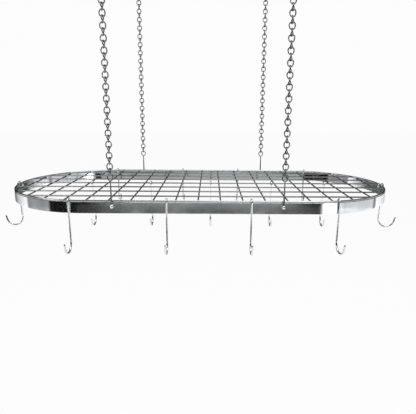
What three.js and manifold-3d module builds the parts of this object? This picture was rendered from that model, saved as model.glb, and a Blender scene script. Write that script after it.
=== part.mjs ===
// Oval pot rack that hangs from the ceiling on four chains, in millimetres, +Z up.
// The origin lies on the ceiling, midway between the four ceiling hooks. X runs along the rack.
import * as THREE from "three";
import { mergeVertices } from "three/addons/utils/BufferGeometryUtils.js";
import Module from "manifold-3d";

// Oval band: a flat bar on edge, bent to a racetrack with round ends
const rackLength = 1070;
const rackWidth = 508;
const bandHeight = 28;
const bandThickness = 3;

// Wire grid: a rim wire on the band's top edge, long wires inside it, and cross wires under them all
const rimWireDiameter = 5;
const gridWireDiameter = 4;
const longWireCount = 7;
const longWireMargin = 63.5; // from the outermost long wire to the rack's side
const crossWireCount = 19;
const crossWireMargin = 31; // from the outermost cross wire to the rack's end

// Hangers: one near each corner, outside the band, held by a screw through the band
const hangerX = 208.3; // from the middle of the rack
const screwDrop = 9.6; // from the band's top edge to the screw's axis
const rodLength = 72; // from the screw's axis to the middle of the eye
const rodTopDiameter = 2.8;
const rodFootDiameter = 4.6;
const ballDiameter = 9.5;
const eyeWireDiameter = 2.8;
const eyeInnerWidth = 10;
const eyeInnerHeight = 14;
const screwDiameter = 4;
const screwBite = 6; // depth of the screw's hole in the ball
const screwHeadDiameter = 10;
const screwHeadHeight = 3;

// Chains: links of round wire, one edge-on and the next face-on
const linkWireDiameter = 2.8;
const linkPitch = 13;
const linkOuterWidth = 16.4;
const linkCount = 39;
const linkContact = 0.3; // how far neighbouring links are pressed into each other
const linkEndShare = 0.5; // flat end of a link, as a share of its width

// Ceiling hooks: open screw hooks, their threads up in the ceiling
const ceilingHookWireDiameter = 4;
const ceilingHookRadius = 10; // to the middle of the wire
const ceilingHookMouth = 150; // degrees from +X to the hook's open end
const ceilingHookNeck = 4; // straight wire between the bend and the ceiling
const threadDiameter = 4.6;
const threadLength = 30;
const threadPointLength = 7;

// Pot hooks: a tight crook over the rim or a grid wire, a straight shank and a wide open bend
const potHookWireDiameter = 4.8;
const crookRadius = 6.5; // to the middle of the wire
const crookLegLength = 7; // straight wire on the far side of the crook
const bendRadius = 23.4; // to the middle of the wire
const bendDrop = 101; // from the crook's middle down to the bend's middle
const bendShortfall = 12; // degrees short of upright where the bend ends, so that the tip leans out
const tipLength = 12;
const tipTaperLength = 6;
const tipTaper = 0.55; // share of the wire's thickness left at the tip

// Where the pot hooks hang
const frontHookX = [-316, -76, 131, 346];
const frontHookTurn = [8, 0, 0, -7]; // degrees that each is turned on the rim
const backHookX = [-300, -68, 128, 360];
const endHookY = -22;
const middleHookX = [-324, -148, 31, 213, 370];
const middleHookLean = 11.3; // degrees, which brings the hook's weight under its wire

const clearance = 0.3; // between pieces that rest on or run in each other

// Facets
const endFacets = 20; // round each end of the oval
const wireSides = 6;
const eyeEndCorners = 4;
const ringCorners = 9;
const neckCorners = 2;
const crookCorners = 4;
const bendCorners = 6;
const roundFacets = 10; // round rods, screws and holes

// What follows from the sizes. Heights are above the band's top edge, apart from bandTop itself.
const endRadius = rackWidth / 2;
const straightHalf = (rackLength - rackWidth) / 2;
const hangerY = endRadius + clearance + ballDiameter / 2;
const rimWireZ = clearance + rimWireDiameter / 2;
const longWireZ = clearance + gridWireDiameter / 2;
const crossWireZ = clearance - gridWireDiameter / 2;
const linkInnerLength = linkPitch - linkContact;
const eyeZ = rodLength - screwDrop;
const firstLinkZ = eyeZ + eyeInnerHeight / 2 - clearance + linkInnerLength / 2;
const lastLinkZ = firstLinkZ + (linkCount - 1) * linkPitch;
const hookSeatZ = lastLinkZ + linkInnerLength / 2 - clearance;
const ringZ = hookSeatZ - ceilingHookWireDiameter / 2 + ceilingHookRadius;
const neckBend = Math.PI / 3; // the neck swings back over the ring through this angle
const neckTop = 2 * ceilingHookRadius * Math.sin(neckBend) + ceilingHookNeck;
const bandTop = -(ringZ + neckTop);

const chrome = new THREE.MeshStandardMaterial({ color: 0xd9dbdd, roughness: 0.08, metalness: 1 });
const dullChrome = new THREE.MeshStandardMaterial({ color: 0xc4c6c9, roughness: 0.2, metalness: 1 });

const wasm = await Module();
wasm.setup();

function solidFrom(geometry) {
  const bare = geometry.clone();
  bare.deleteAttribute("normal");
  bare.deleteAttribute("uv");
  const welded = mergeVertices(bare, 1e-3);
  const mesh = new wasm.Mesh({
    numProp: 3,
    vertProperties: welded.attributes.position.array,
    triVerts: new Uint32Array(welded.index.array),
  });
  return new wasm.Manifold(mesh);
}

function geometryFrom(solid) {
  const mesh = solid.getMesh();
  const geometry = new THREE.BufferGeometry();
  geometry.setAttribute("position", new THREE.BufferAttribute(mesh.vertProperties, 3));
  geometry.setIndex(new THREE.BufferAttribute(mesh.triVerts, 1));
  geometry.computeVertexNormals();
  return geometry;
}

const joined = (solids) => solids.reduce((all, next) => all.add(next));

// Centreline of a bent wire, counted in steps from place to place, so that a straight run is one step.
// Each place holds its point and the way the wire runs there. A turn rolls the wire's section.
class BentWire extends THREE.Curve {
  constructor(places, turn = 0) {
    super();
    this.places = places;
    this.turn = turn;
  }

  stepAt(t) {
    const steps = this.places.length - 1;
    const step = Math.min(Math.floor(t * steps + 1e-6), steps - 1);
    return { from: this.places[step], to: this.places[step + 1], share: t * steps - step };
  }

  getPointAt(t, target = new THREE.Vector3()) {
    const { from, to, share } = this.stepAt(t);
    return target.lerpVectors(from.point, to.point, share);
  }

  getTangentAt(t, target = new THREE.Vector3()) {
    const { from, to, share } = this.stepAt(t);
    return target.lerpVectors(from.along, to.along, share).normalize();
  }

  computeFrenetFrames(segments, closed) {
    const frames = super.computeFrenetFrames(segments, closed);
    frames.tangents.forEach((along, i) => {
      frames.normals[i].applyAxisAngle(along, this.turn);
      frames.binormals[i].applyAxisAngle(along, this.turn);
    });
    return frames;
  }
}

// A place on an arc in the XZ plane, at an angle from +X towards +Z.
// The way is 1 or -1, as the angle grows or falls.
function placeOnArc(x, z, radius, angle, way) {
  return {
    point: new THREE.Vector3(x + radius * Math.cos(angle), 0, z + radius * Math.sin(angle)),
    along: new THREE.Vector3(-way * Math.sin(angle), 0, way * Math.cos(angle)),
  };
}

// Corners of a bend. The steps between them touch the true arc, and the first and last run on straight.
function bendPlaces(x, z, radius, start, end, corners) {
  const step = (end - start) / corners;
  const outer = radius / Math.cos(step / 2);
  return Array.from({ length: corners }, (_, i) =>
    placeOnArc(x, z, outer, start + step * (i + 0.5), Math.sign(step)),
  );
}

function placeFurther({ point, along }, length) {
  return { point: point.clone().addScaledVector(along, length), along: along.clone() };
}

// From a round wire's middle to the corners of the polygon that stands round it
const cornerAround = (diameter, sides) => diameter / 2 / Math.cos(Math.PI / sides);

function wireSection(diameter) {
  const corner = cornerAround(diameter, wireSides);
  const corners = Array.from({ length: wireSides }, (_, i) => {
    const angle = (2 * Math.PI * i) / wireSides;
    return new THREE.Vector2(corner * Math.cos(angle), corner * Math.sin(angle));
  });
  return new THREE.Shape(corners);
}

function openWire(places, diameter) {
  return new THREE.ExtrudeGeometry(wireSection(diameter), {
    extrudePath: new BentWire(places),
    steps: places.length - 1,
    bevelEnabled: false,
  });
}

// A loop of wire. Its path comes back to its first place, so the tube has no open ends.
function closedWire(places, corner, sides, turn = 0) {
  const path = new BentWire([...places, places[0]], turn);
  return new THREE.TubeGeometry(path, places.length, corner, sides, true);
}

// Draws in the corners at a wire's end, to a blunt tip.
function taperEnd(geometry, end, diameter, share) {
  const corners = geometry.getAttribute("position");
  const corner = new THREE.Vector3();
  for (let i = 0; i < corners.count; i++) {
    corner.fromBufferAttribute(corners, i);
    if (corner.distanceTo(end) < diameter) {
      corner.lerp(end, 1 - share);
      corners.setXYZ(i, corner.x, corner.y, corner.z);
    }
  }
}

// Stands a solid that was made round Y upright, round Z.
const upright = (geometry) => geometry.rotateX(Math.PI / 2);

// Racetrack outline, inset from the rack's outer face
function ovalOutline(inset) {
  const radius = endRadius - inset;
  const half = Array.from({ length: endFacets + 1 }, (_, i) => {
    const angle = -Math.PI / 2 + (Math.PI * i) / endFacets;
    return new THREE.Vector2(straightHalf + radius * Math.cos(angle), radius * Math.sin(angle));
  });
  return [...half, ...half.map((corner) => corner.clone().negate())];
}

function ovalPrism(inset, height) {
  const outline = new THREE.Shape(ovalOutline(inset));
  return new THREE.ExtrudeGeometry(outline, { depth: height, bevelEnabled: false });
}

function ovalBand() {
  const outline = new THREE.Shape(ovalOutline(0));
  outline.holes.push(new THREE.Path(ovalOutline(bandThickness)));
  const bar = new THREE.ExtrudeGeometry(outline, { depth: bandHeight, bevelEnabled: false });
  const holeRadius = screwDiameter / 2 + clearance;
  const drill = new THREE.CylinderGeometry(holeRadius, holeRadius, 2 * rackWidth, roundFacets);
  const holes = [-hangerX, hangerX].map((x) => solidFrom(drill.clone().translate(x, 0, -screwDrop)));
  return geometryFrom(
    holes.reduce((band, hole) => band.subtract(hole), solidFrom(bar.translate(0, 0, -bandHeight))),
  );
}

// The rim wire has the band's own facets, and lies flush with its outer face.
function rimWire() {
  const outline = ovalOutline(rimWireDiameter / 2);
  const places = outline.map((corner, i) => {
    const before = outline.at(i - 1);
    const after = outline[(i + 1) % outline.length];
    const along = new THREE.Vector3(after.x - before.x, 0, after.y - before.y).normalize();
    return { point: new THREE.Vector3(corner.x, 0, corner.y), along };
  });
  const flatDown = Math.PI / wireSides;
  const loop = closedWire(places, cornerAround(rimWireDiameter, wireSides), wireSides, flatDown);
  return upright(loop).translate(0, 0, rimWireZ);
}

// A wire along Z with its middle at the origin
function straightWire(length) {
  const section = wireSection(gridWireDiameter);
  const wire = new THREE.ExtrudeGeometry(section, { depth: length, bevelEnabled: false });
  return wire.translate(0, 0, -length / 2);
}

// Places spread evenly across a span, as many as the count, with a margin at both ends
function spreadPlaces(span, margin, count) {
  const reach = span / 2 - margin;
  return Array.from({ length: count }, (_, i) => -reach + (2 * reach * i) / (count - 1));
}

// Cuts a wire to length where it meets the inside of the oval.
function trimmedWire(wire, inset) {
  const inside = ovalPrism(inset, 2 * bandHeight).translate(0, 0, -bandHeight);
  return geometryFrom(solidFrom(wire).intersect(solidFrom(inside)));
}

// Long wires end at the rim wire's side.
function longWire(y) {
  const wire = straightWire(rackLength).rotateZ(Math.PI / 2).rotateY(Math.PI / 2);
  const rimSide = rimWireDiameter / 2 + cornerAround(rimWireDiameter, wireSides);
  return trimmedWire(wire.translate(0, y, longWireZ), rimSide + clearance);
}

// Cross wires run on under the rim wire, and end at the band's inner face.
function crossWire(x) {
  const wire = straightWire(rackWidth).rotateX(Math.PI / 2);
  return trimmedWire(wire.translate(x, 0, crossWireZ), bandThickness + clearance);
}

// An upright oval ring in the XZ plane, round the origin
function rodEye() {
  const radius = (eyeInnerWidth + eyeWireDiameter) / 2;
  const shift = (eyeInnerHeight - eyeInnerWidth) / 2;
  const top = bendPlaces(0, shift, radius, 0, Math.PI, eyeEndCorners);
  const bottom = bendPlaces(0, -shift, radius, Math.PI, 2 * Math.PI, eyeEndCorners);
  return closedWire([...top, ...bottom], cornerAround(eyeWireDiameter, wireSides), wireSides);
}

// Closed eye on top, tapered shank, and a ball with a blind hole for the screw, on the side of +Y
function hangerRod() {
  const shankTop = rodLength - (eyeInnerHeight + eyeWireDiameter) / 2;
  const shank = new THREE.CylinderGeometry(rodTopDiameter / 2, rodFootDiameter / 2, shankTop, roundFacets);
  const ball = new THREE.SphereGeometry(ballDiameter / 2, roundFacets, 6);
  const holeRadius = screwDiameter / 2 + clearance;
  const hole = new THREE.CylinderGeometry(holeRadius, holeRadius, 2 * screwBite, roundFacets);
  const solid = joined([
    solidFrom(rodEye().translate(0, 0, rodLength)),
    solidFrom(upright(shank).translate(0, 0, shankTop / 2)),
    solidFrom(ball),
  ]);
  return geometryFrom(solid.subtract(solidFrom(hole.translate(0, ballDiameter / 2, 0))));
}

// Domed head inside the band and a plain shank that runs through it into the ball
function hangerScrew() {
  const head = screwHeadDiameter / 2;
  const seat = ballDiameter / 2 + clearance + bandThickness + clearance;
  const end = ballDiameter / 2 - screwBite + clearance;
  const profile = [
    [0, end],
    [screwDiameter / 2, end],
    [screwDiameter / 2, seat],
    [head, seat],
    [head, seat + screwHeadHeight * 0.3],
    [head * 0.65, seat + screwHeadHeight * 0.8],
    [0, seat + screwHeadHeight],
  ];
  return new THREE.LatheGeometry(
    profile.map(([out, along]) => new THREE.Vector2(out, along)),
    roundFacets,
  );
}

// A six-cornered ring of square bar. Its flat ends are a share of its width.
function linkOutline(halfWidth, halfLength) {
  const halfEnd = halfWidth * linkEndShare;
  const side = [
    new THREE.Vector2(halfEnd, -halfLength),
    new THREE.Vector2(halfWidth, 0),
    new THREE.Vector2(halfEnd, halfLength),
  ];
  return [...side, ...side.map((corner) => corner.clone().negate())];
}

// Links hang in each other by their flat ends.
function chain() {
  const bar = linkWireDiameter;
  const outline = new THREE.Shape(linkOutline(linkOuterWidth / 2, linkInnerLength / 2 + bar));
  outline.holes.push(new THREE.Path(linkOutline(linkOuterWidth / 2 - bar, linkInnerLength / 2)));
  const flat = new THREE.ExtrudeGeometry(outline, { depth: bar, bevelEnabled: false });
  const faceOn = upright(flat.translate(0, 0, -bar / 2));
  const edgeOn = faceOn.clone().rotateZ(Math.PI / 2);
  const links = Array.from({ length: linkCount }, (_, i) => {
    const link = i % 2 === 0 ? edgeOn : faceOn;
    return solidFrom(link.clone().translate(0, 0, i * linkPitch));
  });
  return geometryFrom(joined(links));
}

// Open ring round the origin, a neck that swings back over it, and a pointed thread above that
function ceilingHook() {
  const radius = ceilingHookRadius;
  const mouth = THREE.MathUtils.degToRad(ceilingHookMouth - 360);
  const tip = placeOnArc(0, 0, radius, mouth, 1);
  const neckX = 2 * radius * Math.cos(neckBend);
  const neckZ = 2 * radius * Math.sin(neckBend);
  const end = { point: new THREE.Vector3(0, 0, neckTop), along: new THREE.Vector3(0, 0, 1) };
  const wire = openWire(
    [
      tip,
      ...bendPlaces(0, 0, radius, mouth, neckBend, ringCorners),
      ...bendPlaces(neckX, neckZ, radius, neckBend + Math.PI, Math.PI, neckCorners),
      end,
    ],
    ceilingHookWireDiameter,
  );
  const profile = [
    [0, -1],
    [threadDiameter / 2, -1],
    [threadDiameter / 2, threadLength - threadPointLength],
    [0, threadLength],
  ];
  const thread = new THREE.LatheGeometry(
    profile.map(([out, along]) => new THREE.Vector2(out, along)),
    roundFacets,
  );
  return geometryFrom(solidFrom(wire).add(solidFrom(upright(thread).translate(0, 0, neckTop))));
}

// Height of the crook's middle when it hangs on a wire that lies on the band or in the grid
const crookZ = (wireDiameter) => 2 * clearance + wireDiameter - (crookRadius - potHookWireDiameter / 2);

// The shank leans in until it meets the band's lower edge.
function shankLean() {
  const room = crookRadius - potHookWireDiameter / 2 - rimWireDiameter / 2 - clearance;
  return Math.asin(room / (bandHeight + crookZ(rimWireDiameter)));
}

// Round the crook's middle in the XZ plane, its bend on the side of +X
function potHook() {
  const lean = shankLean();
  const footDrop = bendDrop - bendRadius * Math.sin(lean);
  const shankRun = (footDrop - crookRadius * Math.sin(lean)) / Math.cos(lean);
  const foot = placeFurther(placeOnArc(0, 0, crookRadius, -lean, -1), shankRun);
  const bendX = foot.point.x + bendRadius * Math.cos(lean);
  const bendEnd = 2 * Math.PI - THREE.MathUtils.degToRad(bendShortfall);
  const tipStart = placeOnArc(bendX, -bendDrop, bendRadius, bendEnd, 1);
  const tip = placeFurther(tipStart, tipLength);
  const wire = openWire(
    [
      { point: new THREE.Vector3(-crookRadius, 0, -crookLegLength), along: new THREE.Vector3(0, 0, 1) },
      ...bendPlaces(0, 0, crookRadius, Math.PI, -lean, crookCorners),
      ...bendPlaces(bendX, -bendDrop, bendRadius, Math.PI - lean, bendEnd, bendCorners),
      placeFurther(tipStart, tipLength - tipTaperLength),
      tip,
    ],
    potHookWireDiameter,
  );
  taperEnd(wire, tip.point, potHookWireDiameter, tipTaper);
  return wire;
}

const rack = new THREE.Group();
const hung = new THREE.Group(); // measured from the band's top edge
hung.position.z = bandTop;
rack.add(hung);

function placeMesh(name, geometry, material, parent, x = 0, y = 0, z = 0, turn = 0) {
  const mesh = new THREE.Mesh(geometry, material);
  mesh.name = name;
  mesh.position.set(x, y, z);
  mesh.rotation.z = turn;
  parent.add(mesh);
}

placeMesh("oval_band", ovalBand(), chrome, hung);
placeMesh("rim_wire", rimWire(), chrome, hung);
spreadPlaces(rackWidth, longWireMargin, longWireCount).forEach((y, i) => {
  placeMesh(`long_wire_${i + 1}`, longWire(y), chrome, hung);
});
spreadPlaces(rackLength, crossWireMargin, crossWireCount).forEach((x, i) => {
  placeMesh(`cross_wire_${i + 1}`, crossWire(x), chrome, hung);
});

const cornerNames = [
  ["front_left", -1, -1],
  ["front_right", 1, -1],
  ["back_left", -1, 1],
  ["back_right", 1, 1],
];
for (const [name, sideX, sideY] of cornerNames) {
  const x = sideX * hangerX;
  const y = sideY * hangerY;
  const towardsBand = sideY < 0 ? 0 : Math.PI;
  placeMesh(`hanger_rod_${name}`, hangerRod(), chrome, hung, x, y, -screwDrop, towardsBand);
  placeMesh(`hanger_screw_${name}`, hangerScrew(), dullChrome, hung, x, y, -screwDrop, towardsBand);
  placeMesh(`chain_${name}`, chain(), chrome, hung, x, y, firstLinkZ);
  placeMesh(`ceiling_hook_${name}`, ceilingHook(), dullChrome, hung, x, y, ringZ);
}

// Hangs a hook on the rim wire, square to the band and then turned, at a point of the band's outer face.
function placeRimHook(name, x, y, turn = 0) {
  const middle = THREE.MathUtils.clamp(x, -straightHalf, straightHalf);
  const outward = new THREE.Vector2(x - middle, y).normalize();
  const wire = outward.clone().multiplyScalar(endRadius - rimWireDiameter / 2);
  const heading = outward.angle() + THREE.MathUtils.degToRad(turn);
  placeMesh(name, potHook(), chrome, hung, middle + wire.x, wire.y, crookZ(rimWireDiameter), heading);
}

// The band's outer face at a given X, and at a given Y on the right-hand end
const rimY = (x) => Math.sqrt(endRadius ** 2 - Math.max(0, Math.abs(x) - straightHalf) ** 2);
const rimX = (y) => straightHalf + Math.sqrt(endRadius ** 2 - y ** 2);

frontHookX.forEach((x, i) => placeRimHook(`pot_hook_front_${i + 1}`, x, -rimY(x), frontHookTurn[i]));
backHookX.forEach((x, i) => placeRimHook(`pot_hook_back_${i + 1}`, x, rimY(x)));
placeRimHook("pot_hook_left_end", -rimX(endHookY), endHookY);
placeRimHook("pot_hook_right_end", rimX(endHookY), endHookY);

// The middle hooks lean about the centre wire, with their bends to the front.
middleHookX.forEach((x, i) => {
  const wire = new THREE.Group();
  wire.position.set(x, 0, longWireZ);
  wire.rotation.x = THREE.MathUtils.degToRad(middleHookLean);
  hung.add(wire);
  const crookDrop = longWireZ - crookZ(gridWireDiameter);
  placeMesh(`pot_hook_middle_${i + 1}`, potHook(), chrome, wire, 0, 0, -crookDrop, -Math.PI / 2);
});

export default rack;
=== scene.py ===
import math
import bpy
from mathutils import Matrix, Vector


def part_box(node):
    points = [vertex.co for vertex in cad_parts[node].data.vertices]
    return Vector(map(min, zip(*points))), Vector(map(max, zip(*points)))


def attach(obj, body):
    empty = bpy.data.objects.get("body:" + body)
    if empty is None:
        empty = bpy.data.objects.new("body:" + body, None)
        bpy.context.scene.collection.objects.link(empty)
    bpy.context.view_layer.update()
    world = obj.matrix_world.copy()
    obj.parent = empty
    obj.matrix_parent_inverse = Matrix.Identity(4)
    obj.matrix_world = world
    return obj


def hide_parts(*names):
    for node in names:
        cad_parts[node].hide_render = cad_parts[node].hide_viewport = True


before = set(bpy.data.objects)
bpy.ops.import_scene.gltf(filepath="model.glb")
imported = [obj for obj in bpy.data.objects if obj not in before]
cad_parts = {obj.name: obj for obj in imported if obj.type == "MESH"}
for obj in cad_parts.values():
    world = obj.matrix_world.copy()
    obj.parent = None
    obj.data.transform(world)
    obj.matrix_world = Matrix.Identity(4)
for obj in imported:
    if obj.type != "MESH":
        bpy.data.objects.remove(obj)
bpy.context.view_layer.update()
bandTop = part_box("oval_band")[1].z
print("frame loaded, band top at", round(bandTop, 4))


def deselectAll():
    bpy.ops.object.select_all(action="DESELECT")


def pick(obj):
    deselectAll()
    obj.select_set(True)
    bpy.context.view_layer.objects.active = obj


def settle(obj):
    # put the object's place into its mesh
    pick(obj)
    bpy.ops.object.transform_apply(location=True, rotation=True, scale=True)


mergeWithin = 0.000004


def finishMesh(obj, name, smoothAngle):
    # close the ends, face everything outwards and smooth it
    pick(obj)
    bpy.ops.object.mode_set(mode="EDIT")
    bpy.ops.mesh.select_all(action="SELECT")
    bpy.ops.mesh.remove_doubles(threshold=mergeWithin)
    bpy.ops.mesh.fill_holes(sides=0)
    bpy.ops.mesh.normals_make_consistent(inside=False)
    bpy.ops.object.mode_set(mode="OBJECT")
    bpy.ops.object.shade_smooth_by_angle(angle=math.radians(smoothAngle))
    obj.name = name
    obj.data.name = name
    return obj


def selectWhere(obj, wanted):
    # in edit mode, select the corners that a rule picks by their place
    bpy.ops.mesh.select_mode(type="VERT")
    bpy.ops.mesh.select_all(action="DESELECT")
    bpy.ops.object.mode_set(mode="OBJECT")
    for vertex in obj.data.vertices:
        vertex.select = wanted(vertex.co)
    bpy.ops.object.mode_set(mode="EDIT")


def copyOf(obj, name):
    twin = obj.copy()
    twin.data = obj.data.copy()
    bpy.context.scene.collection.objects.link(twin)
    twin.name = name
    twin.data.name = name
    return twin


def joinAll(objs, name):
    pick(objs[0])
    for obj in objs[1:]:
        obj.select_set(True)
    bpy.ops.object.join()
    joined = bpy.context.view_layer.objects.active
    joined.name = name
    joined.data.name = name
    return joined


def applyModifiers(obj):
    pick(obj)
    for modifier in list(obj.modifiers):
        bpy.ops.object.modifier_apply(modifier=modifier.name)


wireStock = {
    "sides": 12,
    "smooth": 60,
    "ringSmooth": 70,
    # a cut end is rounded over a share of the radius, in a step near the face and one far from it
    "rounding": 0.35,
    "near": 0.35,
    "far": 0.65,
    # shares of the radius at the face and between the steps
    "face": 0.62,
    "shoulder": 0.86,
}


def startRing(radius, middle, turn=(0, 0, 0), sides=wireStock["sides"]):
    # an open ring of edges, ready to be drawn out
    deselectAll()
    bpy.ops.mesh.primitive_circle_add(vertices=sides, radius=radius, location=middle, rotation=turn)
    obj = bpy.context.active_object
    settle(obj)
    bpy.ops.object.mode_set(mode="EDIT")
    bpy.ops.mesh.select_all(action="SELECT")
    return obj


def drawOut(move, scale=1.0, middle=(0, 0, 0)):
    # extrude the ring; middle is where its centre ends up
    bpy.ops.mesh.extrude_region_move(TRANSFORM_OT_translate={"value": move})
    if scale != 1.0:
        bpy.ops.transform.resize(value=(scale, scale, scale), center_override=middle)


def turnProfile(profile, name, smoothAngle, sides=24):
    # a turned piece round Z: every step is (height, radius), and it closes at both ends
    height, radius = profile[0]
    obj = startRing(radius, (0, 0, height), sides=sides)
    for nextHeight, nextRadius in profile[1:]:
        drawOut((0, 0, nextHeight - height), nextRadius / radius, (0, 0, nextHeight))
        height, radius = nextHeight, nextRadius
    bpy.ops.object.mode_set(mode="OBJECT")
    return finishMesh(obj, name, smoothAngle)


class WireBender:
    # bends a round wire in the XZ plane, from its cut end on
    def __init__(self, start, heading, radius):
        self.at = Vector(start)
        self.heading = math.radians(heading)  # from +Z towards +X
        self.rounding = radius * wireStock["rounding"]
        self.obj = startRing(radius * wireStock["face"], self.at, (0, self.heading, 0))
        self.step(self.rounding * wireStock["near"], wireStock["shoulder"] / wireStock["face"])
        self.step(self.rounding * wireStock["far"], 1 / wireStock["shoulder"])

    def step(self, length, scale=1.0):
        move = Vector((math.sin(self.heading), 0, math.cos(self.heading))) * length
        self.at += move
        drawOut(move, scale, self.at)

    def bend(self, radius, angle, steps):
        # a positive angle turns from +Z towards +X
        side = Vector((math.cos(self.heading), 0, -math.sin(self.heading)))
        side *= math.copysign(radius, angle)
        middle = self.at + side
        bpy.ops.mesh.spin(steps=steps, angle=-math.radians(angle), center=middle, axis=(0, 1, 0))
        self.heading += math.radians(angle)
        self.at = middle + Matrix.Rotation(math.radians(angle), 3, "Y") @ -side

    def finish(self, name):
        self.step(self.rounding * wireStock["far"], wireStock["shoulder"])
        self.step(self.rounding * wireStock["near"], wireStock["face"] / wireStock["shoulder"])
        bpy.ops.object.mode_set(mode="OBJECT")
        return finishMesh(self.obj, name, wireStock["smooth"])


plating = {
    "smudgeScale": 22,
    "smudgeDetail": 5,
    "smudgeBreakUp": 0.62,
    "smudgeFrom": 0.35,
    "smudgeTo": 0.75,
    "thinTone": 0.93,
    "thinFrom": 0.3,
    "thinTo": 0.7,
    "rippleScale": 60,
    "rippleDetail": 2,
    "rippleDepth": 0.001,
}


def chromeMaterial(name, colour, roughness, ripple, smudge):
    material = bpy.data.materials.new(name)
    material.use_nodes = True
    nodes, links = material.node_tree.nodes, material.node_tree.links
    shader = nodes["Principled BSDF"]
    shader.inputs["Metallic"].default_value = 1.0
    place = nodes.new("ShaderNodeTexCoord")
    # handling leaves soft smudges in the shine
    smudges = nodes.new("ShaderNodeTexNoise")
    smudges.inputs["Scale"].default_value = plating["smudgeScale"]
    smudges.inputs["Detail"].default_value = plating["smudgeDetail"]
    smudges.inputs["Roughness"].default_value = plating["smudgeBreakUp"]
    links.new(place.outputs["Object"], smudges.inputs["Vector"])
    dullness = nodes.new("ShaderNodeMapRange")
    dullness.inputs["From Min"].default_value = plating["smudgeFrom"]
    dullness.inputs["From Max"].default_value = plating["smudgeTo"]
    dullness.inputs["To Min"].default_value = roughness
    dullness.inputs["To Max"].default_value = roughness + smudge
    links.new(smudges.outputs["Fac"], dullness.inputs["Value"])
    links.new(dullness.outputs["Result"], shader.inputs["Roughness"])
    # the plating is a little darker where the polish missed it
    tone = nodes.new("ShaderNodeValToRGB")
    tone.color_ramp.elements[0].position = plating["thinFrom"]
    tone.color_ramp.elements[0].color = (*[c * plating["thinTone"] for c in colour], 1)
    tone.color_ramp.elements[1].position = plating["thinTo"]
    tone.color_ramp.elements[1].color = (*colour, 1)
    links.new(smudges.outputs["Fac"], tone.inputs["Fac"])
    links.new(tone.outputs["Color"], shader.inputs["Base Color"])
    # the steel under the plating isn't perfectly flat
    waves = nodes.new("ShaderNodeTexNoise")
    waves.inputs["Scale"].default_value = plating["rippleScale"]
    waves.inputs["Detail"].default_value = plating["rippleDetail"]
    links.new(place.outputs["Object"], waves.inputs["Vector"])
    bump = nodes.new("ShaderNodeBump")
    bump.inputs["Strength"].default_value = ripple
    bump.inputs["Distance"].default_value = plating["rippleDepth"]
    links.new(waves.outputs["Fac"], bump.inputs["Height"])
    links.new(bump.outputs["Normal"], shader.inputs["Normal"])
    return material


# colour, roughness, ripple and smudge of each piece's chrome; the grid, rod and chain colours are
# darkened as painted shade, and the hook and ball colours are lightened as painted highlight
chromes = {
    "band": ((0.62, 0.625, 0.635), 0.05, 0.05, 0.05),
    # grid chrome darker than the band's chrome: painted shade
    "grid": ((0.30, 0.303, 0.308), 0.16, 0.06, 0.10),
    # rod chrome darker than the band's chrome: painted shade
    "rod": ((0.28, 0.283, 0.288), 0.12, 0.03, 0.08),
    "screw": ((0.60, 0.605, 0.61), 0.16, 0.05, 0.10),
    # chain chrome darker than the band's chrome: painted shade
    "chain": ((0.24, 0.243, 0.248), 0.12, 0.04, 0.10),
    "ceilingHook": ((0.60, 0.605, 0.61), 0.16, 0.05, 0.10),
    # hook chrome lighter than the band's chrome: painted highlight
    "hook": ((0.80, 0.805, 0.81), 0.10, 0.04, 0.08),
    "rim": ((0.60, 0.605, 0.61), 0.12, 0.05, 0.10),
    # ball chrome lighter than the band's chrome: painted highlight
    "ball": ((0.86, 0.865, 0.87), 0.22, 0.03, 0.08),
}
finishes = {piece: chromeMaterial(piece + "Chrome", *values) for piece, values in chromes.items()}
print("chrome finishes mixed")


def dress(obj, finish, slot, body, *nodes):
    # the rods bring two materials of their own: darker chrome as painted shade, lighter ball chrome
    # as painted highlight
    if not obj.data.materials:
        obj.data.materials.append(finishes[finish])
    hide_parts(*nodes)
    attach(obj, body)


band = {
    "length": 1.070,
    "width": 0.508,
    "height": 0.028,
    "thickness": 0.003,
    "edge": 0.0006,
    "edgeSteps": 3,
    "edgeAbove": 50,  # degrees between faces that get a rounded edge
    "facets": 98,
    "smooth": 12,
}
halfStraight = (band["length"] - band["width"]) / 2


def stretchEnds(obj):
    # pull the two halves of a round shape apart along X
    for side in (-1, 1):
        selectWhere(obj, lambda place: place.x * side > 0)
        bpy.ops.transform.translate(value=(side * halfStraight, 0, 0))


def buildBand():
    centre = (0, 0, bandTop)
    obj = startRing(band["width"] / 2, centre, sides=band["facets"])
    halfFacet = math.pi / band["facets"]
    bpy.ops.transform.rotate(value=halfFacet, orient_axis="Z", center_override=centre)
    stretchEnds(obj)
    bpy.ops.mesh.select_all(action="SELECT")
    bpy.ops.mesh.extrude_region_move(TRANSFORM_OT_translate={"value": (0, 0, -band["height"])})
    bpy.ops.mesh.select_all(action="SELECT")
    bpy.ops.mesh.normals_make_consistent(inside=False)
    bpy.ops.object.mode_set(mode="OBJECT")
    outward = sum(face.normal.xy.dot(face.center.xy) for face in obj.data.polygons)
    wall = obj.modifiers.new("wall", "SOLIDIFY")
    wall.thickness = band["thickness"]
    wall.offset = -1 if outward > 0 else 1
    edges = obj.modifiers.new("edges", "BEVEL")
    edges.width = band["edge"]
    edges.segments = band["edgeSteps"]
    edges.limit_method = "ANGLE"
    edges.angle_limit = math.radians(band["edgeAbove"])
    applyModifiers(obj)
    return finishMesh(obj, "band", band["smooth"])


dress(buildBand(), "band", "band_chrome", "rack", "oval_band")
print("band bent")

grid = {
    "rimWire": 0.005,
    "wire": 0.004,
    "cutEdge": 0.2,  # share of the radius by which a cut end is eased
    "lift": 0.0003,
    "weld": 0.0004,
    "longSpacing": 0.0635,
    "crossSpacing": 0.056,
    "longEach": 3,  # wires on each side of the middle one
    "crossEach": 9,
}


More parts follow.
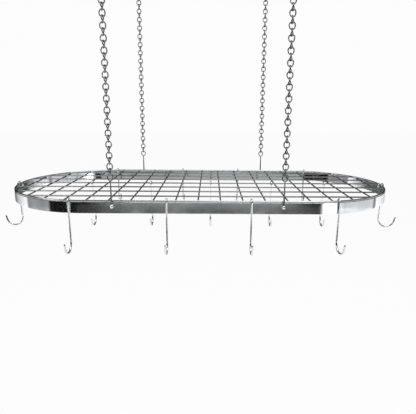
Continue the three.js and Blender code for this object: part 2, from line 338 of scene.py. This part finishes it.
def straightWire(name, start, end, radius):
    # a wire along X or along Y
    start, end = Vector(start), Vector(end)
    reach = end - start
    turn = (0, math.pi / 2, 0) if reach.x > reach.y else (-math.pi / 2, 0, 0)
    eased = 1 - grid["cutEdge"]
    obj = startRing(radius * eased, start, turn)
    nudge = reach.normalized() * radius * grid["cutEdge"]
    drawOut(nudge, 1 / eased, start + nudge)
    drawOut(reach - 2 * nudge)
    drawOut(nudge, eased, end)
    bpy.ops.object.mode_set(mode="OBJECT")
    return finishMesh(obj, name, wireStock["smooth"])


def ovalReach(across, inset):
    # half length of the oval at a distance from its long axis
    radius = band["width"] / 2 - inset
    return halfStraight + math.sqrt(radius ** 2 - across ** 2)


def ovalDepth(along, inset):
    # half width of the oval at a distance from its middle
    radius = band["width"] / 2 - inset
    beyond = max(0, abs(along) - halfStraight)
    return math.sqrt(radius ** 2 - beyond ** 2)


def buildRim(radius):
    deselectAll()
    bpy.ops.mesh.primitive_torus_add(
        location=(0, 0, bandTop + grid["lift"] + radius),
        major_radius=band["width"] / 2 - radius,
        minor_radius=radius,
        major_segments=band["facets"],
        minor_segments=wireStock["sides"],
    )
    rim = bpy.context.active_object
    settle(rim)
    bpy.ops.object.mode_set(mode="EDIT")
    stretchEnds(rim)
    bpy.ops.object.mode_set(mode="OBJECT")
    return finishMesh(rim, "rimWire", wireStock["smooth"])


def layWire(kind, number, start, end):
    wire = straightWire("%sWire_%d" % (kind, number), start, end, grid["wire"] / 2)
    dress(wire, "grid", "grid_chrome", "rack", "%s_wire_%d" % (kind, number))


def buildGrid():
    rimRadius = grid["rimWire"] / 2
    dress(buildRim(rimRadius), "rim", "grid_chrome", "rack", "rim_wire")
    longHeight = bandTop + grid["lift"] + grid["wire"] / 2
    crossHeight = longHeight - grid["wire"] + grid["weld"]
    for i in range(2 * grid["longEach"] + 1):
        y = (i - grid["longEach"]) * grid["longSpacing"]
        reach = ovalReach(y, rimRadius)
        layWire("long", i + 1, (-reach, y, longHeight), (reach, y, longHeight))
    for i in range(2 * grid["crossEach"] + 1):
        x = (i - grid["crossEach"]) * grid["crossSpacing"]
        reach = ovalDepth(x, band["thickness"] + grid["lift"])
        layWire("cross", i + 1, (x, -reach, crossHeight), (x, reach, crossHeight))


buildGrid()
print("grid welded")


def stretchUp(obj, amount):
    # pull the upper and lower halves of a ring apart along Z
    for side in (-1, 1):
        selectWhere(obj, lambda place: place.z * side > 0)
        bpy.ops.transform.translate(value=(0, 0, side * amount))
    bpy.ops.object.mode_set(mode="OBJECT")


def ovalRing(name, outerWidth, innerHeight, wire, around, section=wireStock["sides"]):
    # a closed wire ring that stands upright in the XZ plane, round the origin
    deselectAll()
    bpy.ops.mesh.primitive_torus_add(
        rotation=(math.pi / 2, 0, 0),
        major_radius=(outerWidth - wire) / 2,
        minor_radius=wire / 2,
        major_segments=around,
        minor_segments=section,
    )
    obj = bpy.context.active_object
    settle(obj)
    bpy.ops.object.mode_set(mode="EDIT")
    stretchUp(obj, (innerHeight + wire * 2 - outerWidth) / 2)
    return finishMesh(obj, name, wireStock["ringSmooth"])


hanger = {
    "x": 0.2083,
    "y": 0.25905,
    "drop": 0.0096,  # from the band's top to the ball's middle
    "rod": 0.072,  # from there to the eye's middle
    "top": 0.0028,
    "foot": 0.0046,
    "ball": 0.0095,
    "ballFoot": -84,  # latitude on the ball where its profile starts
    "ballSteps": 9,
    "paintedHighlightReach": 1.6,  # how far up the ball's lighter chrome, a painted highlight, goes, in radii of the ball
    "neck": (0.0012, 0.97),  # height over the ball, share of the foot
    "waist": (0.5, 1.02),  # share of the height, share of the mean thickness
    # height from the shank's top, share of its thickness there
    "flare": ((-0.004, 1), (-0.001, 1.12), (0.0006, 1.3)),
    "smooth": 50,
    "eyeWire": 0.0028,
    "eyeWidth": 0.010,
    "eyeHeight": 0.014,
    "eyeFacets": 34,
}


def buildRod():
    wire = hanger["eyeWire"]
    outerWidth = hanger["eyeWidth"] + 2 * wire
    eye = ovalRing("eye", outerWidth, hanger["eyeHeight"], wire, hanger["eyeFacets"])
    eye.location.z = hanger["rod"]
    settle(eye)
    ball, foot, top = hanger["ball"] / 2, hanger["foot"] / 2, hanger["top"] / 2
    neckStart = math.sqrt(ball ** 2 - foot ** 2)
    startAngle = math.radians(hanger["ballFoot"])
    sweep = math.asin(neckStart / ball) - startAngle
    profile = []
    for i in range(hanger["ballSteps"]):
        angle = startAngle + sweep * i / (hanger["ballSteps"] - 1)
        profile.append((ball * math.sin(angle), ball * math.cos(angle)))
    shankTop = hanger["rod"] - (hanger["eyeHeight"] + wire) / 2
    profile.append((neckStart + hanger["neck"][0], foot * hanger["neck"][1]))
    profile.append((shankTop * hanger["waist"][0], (foot + top) / 2 * hanger["waist"][1]))
    profile += [(shankTop + rise, top * share) for rise, share in hanger["flare"]]
    rod = joinAll([turnProfile(profile, "shank", hanger["smooth"]), eye], "rod")
    # the shank and eye get the darker rod chrome as painted shade; the low faces of the ball get
    # the lighter ball chrome as painted highlight
    rod.data.materials.append(finishes["rod"])
    rod.data.materials.append(finishes["ball"])
    for face in rod.data.polygons:
        face.material_index = int(face.center.z < ball * hanger["paintedHighlightReach"])
    return rod


screw = {
    "shank": 0.004,
    "head": 0.010,
    "height": 0.003,
    "bite": 0.006,
    "gap": 0.0003,
    "chamfer": (0.0004, 0.8),  # length, share of the shank that is left
    "rim": (0.0002, 0.97),
    "dome": ((0.22, 1.0), (0.42, 0.96), (0.62, 0.84), (0.8, 0.65), (0.93, 0.4), (0.99, 0.14)),
    "slot": (0.0012, 0.012, 0.0012),  # width, length and depth
    "smooth": 45,
}


def buildScrew():
    # made upright and then laid along Y, its head inside the band
    seat = hanger["ball"] / 2 + band["thickness"] + 2 * screw["gap"]
    end = hanger["ball"] / 2 - screw["bite"] + screw["gap"]
    shank, head, height = screw["shank"] / 2, screw["head"] / 2, screw["height"]
    chamfer, chamferShare = screw["chamfer"]
    rim, rimShare = screw["rim"]
    profile = [(end, shank * chamferShare), (end + chamfer, shank), (seat, shank)]
    profile += [(seat, head * rimShare), (seat + rim, head)]
    profile += [(seat + height * rise, head * spread) for rise, spread in screw["dome"]]
    obj = turnProfile(profile, "screw", screw["smooth"])
    deselectAll()
    width, length, depth = screw["slot"]
    slotBox = (width, length, 2 * depth)
    bpy.ops.mesh.primitive_cube_add(size=1, location=(0, 0, seat + height), scale=slotBox)
    cutter = bpy.context.active_object
    settle(cutter)
    cut = obj.modifiers.new("slot", "BOOLEAN")
    cut.operation = "DIFFERENCE"
    cut.object = cutter
    cut.solver = "EXACT"
    applyModifiers(obj)
    bpy.data.objects.remove(cutter)
    obj.rotation_euler = (-math.pi / 2, 0, 0)
    settle(obj)
    return obj


chain = {
    "wire": 0.0031,
    "solidWire": 0.0028,  # wire of the frame's own chain
    "contact": 0.0003,  # neighbours are pressed into each other by this
    "pitch": 0.013,
    "width": 0.0164,
    "links": 39,
    "twist": -60,
    "around": 14,
    "section": 6,
}


def buildChain():
    # links alternate: the first hangs edge-on in the rod's eye
    wire, pitch = chain["wire"], chain["pitch"]
    faceOn = ovalRing("link", chain["width"], pitch, wire, chain["around"], chain["section"])
    twist = faceOn.modifiers.new("twist", "SIMPLE_DEFORM")
    twist.deform_method = "TWIST"
    twist.deform_axis = "Z"
    twist.angle = math.radians(chain["twist"])
    applyModifiers(faceOn)
    edgeOn = copyOf(faceOn, "edgeLink")
    edgeOn.rotation_euler = (0, 0, math.pi / 2)
    settle(edgeOn)
    faceOn.location.z = pitch
    settle(faceOn)
    for link, count in ((edgeOn, (chain["links"] + 1) // 2), (faceOn, chain["links"] // 2)):
        repeat = link.modifiers.new("repeat", "ARRAY")
        repeat.count = count
        repeat.use_relative_offset = False
        repeat.use_constant_offset = True
        repeat.constant_offset_displace = (0, 0, 2 * pitch)
        applyModifiers(link)
    return joinAll([edgeOn, faceOn], "chain")


ceilingHook = {
    "wire": 0.004,
    "radius": 0.010,
    "mouth": 150,  # degrees from +X to the open end
    "bendSteps": 40,
    "neckBend": 60,
    "neckSteps": 10,
    "neck": 0.004,
    "gap": 0.0003,
    "core": 0.72,  # share of the thread's width
    "swell": 0.0006,
    "shank": 0.0208,
    "point": (0.006, 0.3),  # length, share of the core that is left
    "pointRounding": 0.0006,
    "thread": 0.0046,
    "threadRoot": 0.96,  # share of the core
    "threadStock": 0.0005,
    "lead": 0.0022,
    "turns": 9,
    "turnSteps": 20,
    "threadSmooth": 30,
}


def buildThread(start, core):
    # a sharp ridge wound round the core
    deselectAll()
    bpy.ops.mesh.primitive_circle_add(
        vertices=3,
        radius=ceilingHook["threadStock"],
        location=(core, 0, start.z),
        rotation=(math.pi / 2, math.pi / 2, 0),
    )
    ridge = bpy.context.active_object
    settle(ridge)
    crest, root = ceilingHook["thread"] / 2, core * ceilingHook["threadRoot"]
    for vertex in ridge.data.vertices:
        vertex.co.x = crest if vertex.co.x > core else root
    wind = ridge.modifiers.new("wind", "SCREW")
    wind.axis = "Z"
    wind.screw_offset = ceilingHook["lead"]
    wind.iterations = ceilingHook["turns"]
    wind.steps = ceilingHook["turnSteps"]
    wind.render_steps = ceilingHook["turnSteps"]
    wind.use_merge_vertices = False
    applyModifiers(ridge)
    return finishMesh(ridge, "ridge", ceilingHook["threadSmooth"])


def buildCeilingHook():
    radius, wire, opening = ceilingHook["radius"], ceilingHook["wire"] / 2, ceilingHook["mouth"]
    mouth = math.radians(opening)
    bender = WireBender((radius * math.cos(mouth), 0, radius * math.sin(mouth)), -opening, wire)
    ringTurn = 360 - opening + ceilingHook["neckBend"]
    bender.bend(radius, -ringTurn, ceilingHook["bendSteps"])
    bender.bend(radius, ceilingHook["neckBend"], ceilingHook["neckSteps"])
    bender.step(ceilingHook["neck"])
    # the shank swells to the thread and ends in a gimlet point
    core = ceilingHook["thread"] / 2 * ceilingHook["core"]
    bender.step(ceilingHook["swell"], core / wire)
    top = bender.at.copy()
    bender.step(ceilingHook["shank"])
    bender.step(*ceilingHook["point"])
    bender.rounding = ceilingHook["pointRounding"]
    return joinAll([bender.finish("hook"), buildThread(top, core)], "ceilingHook")


corners = {
    "front_left": (-1, -1),
    "front_right": (1, -1),
    "back_left": (-1, 1),
    "back_right": (1, 1),
}


def hangCorners():
    # the four hangers are copies of the same patterns, from the band up to the ceiling
    chainFoot, chainHead = (corner.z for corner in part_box("chain_front_left"))
    pin = bandTop - hanger["drop"]
    firstLink = chainFoot + chain["solidWire"] + (chain["pitch"] - chain["contact"]) / 2
    seat = chainHead - chain["solidWire"] - ceilingHook["gap"]
    ringHeight = seat - ceilingHook["wire"] / 2 + ceilingHook["radius"]
    # pattern, finish, node, height and whether it faces out
    patterns = (
        (buildRod(), "rod", "hanger_rod", pin, True),
        (buildScrew(), "screw", "hanger_screw", pin, True),
        (buildChain(), "chain", "chain", firstLink, False),
        (buildCeilingHook(), "ceilingHook", "ceiling_hook", ringHeight, False),
    )
    for name, (sideX, sideY) in corners.items():
        for pattern, finish, node, height, facesOut in patterns:
            piece = copyOf(pattern, pattern.name + "_" + name)
            piece.location = (sideX * hanger["x"], sideY * hanger["y"], height)
            piece.rotation_euler = (0, 0, math.pi if facesOut and sideY > 0 else 0)
            settle(piece)
            body = "ceiling_hooks" if node == "ceiling_hook" else "chain_" + name + "_body"
            slot = node.replace("hanger_", "") + "_chrome"
            dress(piece, finish, slot, body, node + "_" + name)
    for pattern, *_ in patterns:
        bpy.data.objects.remove(pattern)


hangCorners()
print("hangers and chains hung")

potHook = {
    "wire": 0.0048,
    "crook": 0.0065,
    "crookSteps": 26,
    "leg": 0.007,
    "bend": 0.0234,
    "bendSteps": 40,
    "drop": 0.101,
    "shortfall": 12,  # degrees short of upright where the bend ends
    "tip": 0.012,
    "taper": 0.006,
    # shares of the taper's length and of the wire
    "taperSteps": ((0.25, 0.93), (0.25, 0.83), (0.25, 0.7), (0.17, 0.55)),
    "tipRounding": 0.08,
    "clearance": 0.0003,
}
hookPlaces = {
    "front": [(-0.316, 8), (-0.076, 0), (0.131, 0), (0.346, -7)],  # x, degrees turned on the rim
    "back": [(-0.300, 0), (-0.068, 0), (0.128, 0), (0.360, 0)],
    "endY": -0.022,
    "middle": [-0.324, -0.148, 0.031, 0.213, 0.370],
    "middleLean": 11.3,
}


def crookHeight(wireDiameter):
    # middle of the crook over the top of the band, for a wire that lies on it
    return 2 * potHook["clearance"] + wireDiameter - (potHook["crook"] - potHook["wire"] / 2)


def buildPotHook():
    crook, bend = potHook["crook"], potHook["bend"]
    room = crook - potHook["wire"] / 2 - grid["rimWire"] / 2 - potHook["clearance"]
    lean = math.asin(room / (band["height"] + crookHeight(grid["rimWire"])))
    leanDegrees = math.degrees(lean)
    footDrop = potHook["drop"] - bend * math.sin(lean)
    bender = WireBender((-crook, 0, -potHook["leg"]), 0, potHook["wire"] / 2)
    bender.step(potHook["leg"] - bender.rounding)
    bender.bend(crook, 180 + leanDegrees, potHook["crookSteps"])
    bender.step((footDrop - crook * math.sin(lean)) / math.cos(lean))
    bender.bend(bend, -(180 + leanDegrees - potHook["shortfall"]), potHook["bendSteps"])
    bender.step(potHook["tip"] - potHook["taper"])
    # the tip is swaged down to a blunt point
    share = 1.0
    for part, nextShare in potHook["taperSteps"]:
        bender.step(potHook["taper"] * part, nextShare / share)
        share = nextShare
    bender.rounding = potHook["taper"] * potHook["tipRounding"]
    return bender.finish("potHook")


def hangHook(pattern, name, place, heading, lean=None):
    piece = copyOf(pattern, name.replace("pot_hook", "hook"))
    matrix = Matrix.Translation(place) @ Matrix.Rotation(heading, 4, "Z")
    if lean is not None:
        wire, angle = lean
        tilt = Matrix.Rotation(math.radians(angle), 4, "X")
        matrix = Matrix.Translation(wire) @ tilt @ Matrix.Translation(-wire) @ matrix
    piece.data.transform(matrix)
    dress(piece, "hook", "hook_chrome", name + "_body", name)


def hangOnRim(pattern, name, x, y, turn=0):
    middle = max(-halfStraight, min(halfStraight, x))
    outward = Vector((x - middle, y, 0)).normalized()
    wire = Vector((middle, 0, 0)) + outward * (band["width"] - grid["rimWire"]) / 2
    wire.z = bandTop + crookHeight(grid["rimWire"])
    hangHook(pattern, name, wire, math.atan2(outward.y, outward.x) + math.radians(turn))


def hangPotHooks():
    pattern = buildPotHook()
    for number, (x, turn) in enumerate(hookPlaces["front"], 1):
        hangOnRim(pattern, "pot_hook_front_%d" % number, x, -ovalDepth(x, 0), turn)
    for number, (x, turn) in enumerate(hookPlaces["back"], 1):
        hangOnRim(pattern, "pot_hook_back_%d" % number, x, ovalDepth(x, 0), turn)
    endY = hookPlaces["endY"]
    hangOnRim(pattern, "pot_hook_left_end", -ovalReach(endY, 0), endY)
    hangOnRim(pattern, "pot_hook_right_end", ovalReach(endY, 0), endY)
    for number, x in enumerate(hookPlaces["middle"], 1):
        wire = Vector((x, 0, bandTop + grid["lift"] + grid["wire"] / 2))
        place = Vector((x, 0, bandTop + crookHeight(grid["wire"])))
        lean = (wire, hookPlaces["middleLean"])
        hangHook(pattern, "pot_hook_middle_%d" % number, place, -math.pi / 2, lean)
    bpy.data.objects.remove(pattern)


hangPotHooks()
print("pot hooks hung")

studio = {
    "floor": -2.4,
    "floorSize": 60,
    "floorGrey": 0.86,
    "floorRoughness": 0.9,
    "floorWhite": 0.9,  # share of plain white that the camera sees on it
    "roomGrey": 0.82,
    "roomStrength": 0.9,
    "backdropGrey": 0.975,
    "ringRadius": 3.5,
    "ringSides": 96,
    "lidGrey": 0.20,
    "lampAim": (0, 0, -0.6),
}
lamps = {
    "topLight": {"place": (0.6, -0.8, 2.2), "size": 2.5, "watts": 60},
    "sideLight": {"place": (-3.0, -1.6, 0.4), "size": 1.6, "watts": 30},
}


def greyOf(value):
    return (value, value, value, 1)


def whiteToCamera(tree, shader, glow, share=1.0):
    # camera, mirror and glass rays meet a share of the glow, other rays the real surface
    nodes, links = tree.nodes, tree.links
    path = nodes.new("ShaderNodeLightPath")
    seen = nodes.new("ShaderNodeMath")
    seen.operation = "MAXIMUM"
    links.new(path.outputs["Is Camera Ray"], seen.inputs[0])
    links.new(path.outputs["Is Glossy Ray"], seen.inputs[1])
    both = nodes.new("ShaderNodeMath")
    both.operation = "MAXIMUM"
    links.new(seen.outputs["Value"], both.inputs[0])
    links.new(path.outputs["Is Transmission Ray"], both.inputs[1])
    amount = nodes.new("ShaderNodeMath")
    amount.operation = "MULTIPLY"
    amount.inputs[1].default_value = share
    links.new(both.outputs["Value"], amount.inputs[0])
    mix = nodes.new("ShaderNodeMixShader")
    links.new(amount.outputs["Value"], mix.inputs["Fac"])
    links.new(shader, mix.inputs[1])
    links.new(glow, mix.inputs[2])
    return mix.outputs["Shader"]


def buildFloor():
    deselectAll()
    bpy.ops.mesh.primitive_plane_add(size=studio["floorSize"], location=(0, 0, studio["floor"]))
    floor = bpy.context.active_object
    floor.name = "floor"
    material = bpy.data.materials.new("paleFloor")
    material.use_nodes = True
    nodes, links = material.node_tree.nodes, material.node_tree.links
    shader = nodes["Principled BSDF"]
    shader.inputs["Base Color"].default_value = greyOf(studio["floorGrey"])
    shader.inputs["Roughness"].default_value = studio["floorRoughness"]
    glow = nodes.new("ShaderNodeEmission").outputs["Emission"]
    seen = whiteToCamera(material.node_tree, shader.outputs["BSDF"], glow, studio["floorWhite"])
    links.new(seen, nodes["Material Output"].inputs["Surface"])
    floor.data.materials.append(material)


def rampOf(nodes, stops):
    node = nodes.new("ShaderNodeValToRGB")
    elements = node.color_ramp.elements
    for _ in range(len(stops) - 2):
        elements.new(0.5)
    for element, (position, grey) in zip(elements, stops):
        element.position = position
        element.color = greyOf(grey)
    return node


def glowMaterial(name, stops, low, high, fade=(1, 1)):
    # stops go round the room, fade runs from the foot of the flat to its top
    peak = max(grey for _, grey in stops)
    material = bpy.data.materials.new(name)
    material.use_nodes = True
    nodes, links = material.node_tree.nodes, material.node_tree.links
    nodes.clear()
    place = nodes.new("ShaderNodeTexCoord")
    sweep = nodes.new("ShaderNodeTexGradient")
    sweep.gradient_type = "RADIAL"
    links.new(place.outputs["Object"], sweep.inputs["Vector"])
    around = rampOf(nodes, [(position, grey / peak) for position, grey in stops])
    links.new(sweep.outputs["Fac"], around.inputs["Fac"])
    split = nodes.new("ShaderNodeSeparateXYZ")
    links.new(place.outputs["Object"], split.inputs["Vector"])
    climb = nodes.new("ShaderNodeMapRange")
    climb.inputs["From Min"].default_value = low
    climb.inputs["From Max"].default_value = high
    climb.inputs["To Min"].default_value = fade[0]
    climb.inputs["To Max"].default_value = fade[1]
    links.new(split.outputs["Z"], climb.inputs["Value"])
    blend = nodes.new("ShaderNodeVectorMath")
    blend.operation = "SCALE"
    links.new(around.outputs["Color"], blend.inputs["Vector"])
    links.new(climb.outputs["Result"], blend.inputs["Scale"])
    glow = nodes.new("ShaderNodeEmission")
    glow.inputs["Strength"].default_value = peak
    links.new(blend.outputs["Vector"], glow.inputs["Color"])
    output = nodes.new("ShaderNodeOutputMaterial")
    links.new(glow.outputs["Emission"], output.inputs["Surface"])
    return material


# what the chrome mirrors at each height, as (share of a turn from -X by way of -Y, brightness)
leftEnd = [(0.000, 0.44), (0.020, 0.52), (0.056, 0.40), (0.078, 0.50), (0.086, 0.008)]
rightEnd = [
    (0.322, 0.06), (0.334, 2.00), (0.338, 4.00), (0.356, 4.00), (0.362, 1.70), (0.384, 1.20),
    (0.400, 0.94), (0.440, 1.04), (0.470, 0.92), (0.522, 1.04), (0.530, 0.30), (0.538, 0.30),
    (0.546, 1.60), (0.660, 0.50), (0.680, 0.10), (0.885, 0.20), (0.900, 0.50), (0.982, 1.60),
    (0.987, 0.44),
]
flats = {
    "overhead": {"low": 0.20, "high": 3.00, "fade": (0.10, 1.0), "stops": [(0, 0.60), (1, 0.60)]},
    "level": {"low": -1.16, "high": 0.20, "stops": [(0, 0.015), (1, 0.015)]},
    "upperBand": {"low": -1.32, "high": -1.16, "stops": leftEnd + [
        (0.190, 0.02), (0.200, 0.60), (0.292, 0.60), (0.302, 0.02),
    ] + rightEnd},
    "lowerBand": {"low": -1.49, "high": -1.32, "fade": (0.17, 1.75), "stops": leftEnd + [
        (0.168, 0.008), (0.173, 0.022), (0.196, 0.072), (0.204, 0.160), (0.224, 0.230),
        (0.270, 0.250), (0.297, 0.140), (0.306, 0.040),
    ] + rightEnd},
    "underBand": {"low": -1.60, "high": -1.49, "stops": [
        (0.000, 1.60), (0.600, 1.60), (0.640, 0.20), (0.700, 0.05), (0.820, 0.05), (0.860, 0.30),
        (0.900, 1.60),
    ]},
    "shanks": {"low": -2.00, "high": -1.60, "stops": [
        (0.000, 0.02), (0.500, 0.02), (0.520, 1.80), (0.600, 1.80), (0.640, 0.20), (0.700, 0.05),
        (0.820, 0.05), (0.860, 0.30), (0.900, 1.80), (0.980, 1.80), (0.995, 0.02),
    ]},
    "foot": {"low": -2.40, "high": -2.00, "stops": [
        (0.000, 1.20), (0.560, 1.20), (0.640, 0.25), (0.860, 0.25), (0.940, 1.20),
    ]},
}


def stageFlat(name, material):
    # the flats are seen only in the chrome
    obj = bpy.context.active_object
    obj.name = name
    settle(obj)
    obj.data.materials.append(material)
    obj.visible_camera = False
    obj.visible_diffuse = False
    obj.visible_shadow = False


def buildSurround():
    # rings of grey and white flats stand round the rack, under a grey lid
    for name, flat in flats.items():
        deselectAll()
        bpy.ops.mesh.primitive_cylinder_add(
            vertices=studio["ringSides"],
            radius=studio["ringRadius"],
            depth=flat["high"] - flat["low"],
            end_fill_type="NOTHING",
            location=(0, 0, (flat["high"] + flat["low"]) / 2),
        )
        stageFlat(name + "Flats", glowMaterial(name + "Glow", **flat))
    deselectAll()
    bpy.ops.mesh.primitive_circle_add(
        vertices=studio["ringSides"],
        radius=studio["ringRadius"],
        fill_type="NGON",
        location=(0, 0, flats["overhead"]["high"]),
    )
    lidStops = [(0, studio["lidGrey"]), (1, studio["lidGrey"])]
    stageFlat("lid", glowMaterial("lidGlow", lidStops, 0, 1))


def buildWorld():
    world = bpy.data.worlds.new("softRoom")
    bpy.context.scene.world = world
    world.use_nodes = True
    nodes, links = world.node_tree.nodes, world.node_tree.links
    room = nodes["Background"]
    room.inputs["Color"].default_value = greyOf(studio["roomGrey"])
    room.inputs["Strength"].default_value = studio["roomStrength"]
    backdrop = nodes.new("ShaderNodeBackground")
    backdrop.inputs["Color"].default_value = greyOf(studio["backdropGrey"])
    shades = [shade.outputs["Background"] for shade in (room, backdrop)]
    seen = whiteToCamera(world.node_tree, *shades)
    links.new(seen, nodes["World Output"].inputs["Surface"])


def addSoftLight(name, place, size, watts):
    light = bpy.data.lights.new(name, "AREA")
    light.shape = "SQUARE"
    light.size = size
    light.energy = watts
    lamp = bpy.data.objects.new(name, light)
    bpy.context.scene.collection.objects.link(lamp)
    lamp.location = place
    beam = Vector(studio["lampAim"]) - Vector(place)
    lamp.rotation_euler = beam.to_track_quat("-Z", "Y").to_euler()


buildFloor()
buildSurround()
buildWorld()
for name, lamp in lamps.items():
    addSoftLight(name, **lamp)

camera = {
    "place": (0.031, -1.269, 0.232),  # height over the band's top
    "pitch": 13.43,
    "yaw": 0.34,
    "roll": 0.22,
    "lens": 37.16,
    "sensor": 36,
    "near": 0.02,
    "far": 200,
}


def buildCamera():
    data = bpy.data.cameras.new("camera")
    data.lens = camera["lens"]
    data.sensor_width = camera["sensor"]
    data.clip_start = camera["near"]
    data.clip_end = camera["far"]
    obj = bpy.data.objects.new("camera", data)
    bpy.context.scene.collection.objects.link(obj)
    pitch, yaw, roll = (math.radians(camera[key]) for key in ("pitch", "yaw", "roll"))
    level = math.cos(pitch)
    ahead = Vector((-math.sin(yaw) * level, math.cos(yaw) * level, -math.sin(pitch)))
    right = Vector((math.cos(yaw), math.sin(yaw), 0))
    up = right.cross(ahead)
    rightRolled = right * math.cos(roll) + up * math.sin(roll)
    upRolled = up * math.cos(roll) - right * math.sin(roll)
    turn = Matrix((rightRolled, upRolled, -ahead)).transposed().to_4x4()
    place = Vector(camera["place"]) + Vector((0, 0, bandTop))
    obj.matrix_world = Matrix.Translation(place) @ turn
    bpy.context.scene.camera = obj


buildCamera()
bpy.context.scene.view_settings.view_transform = "Standard"
print("studio lit")
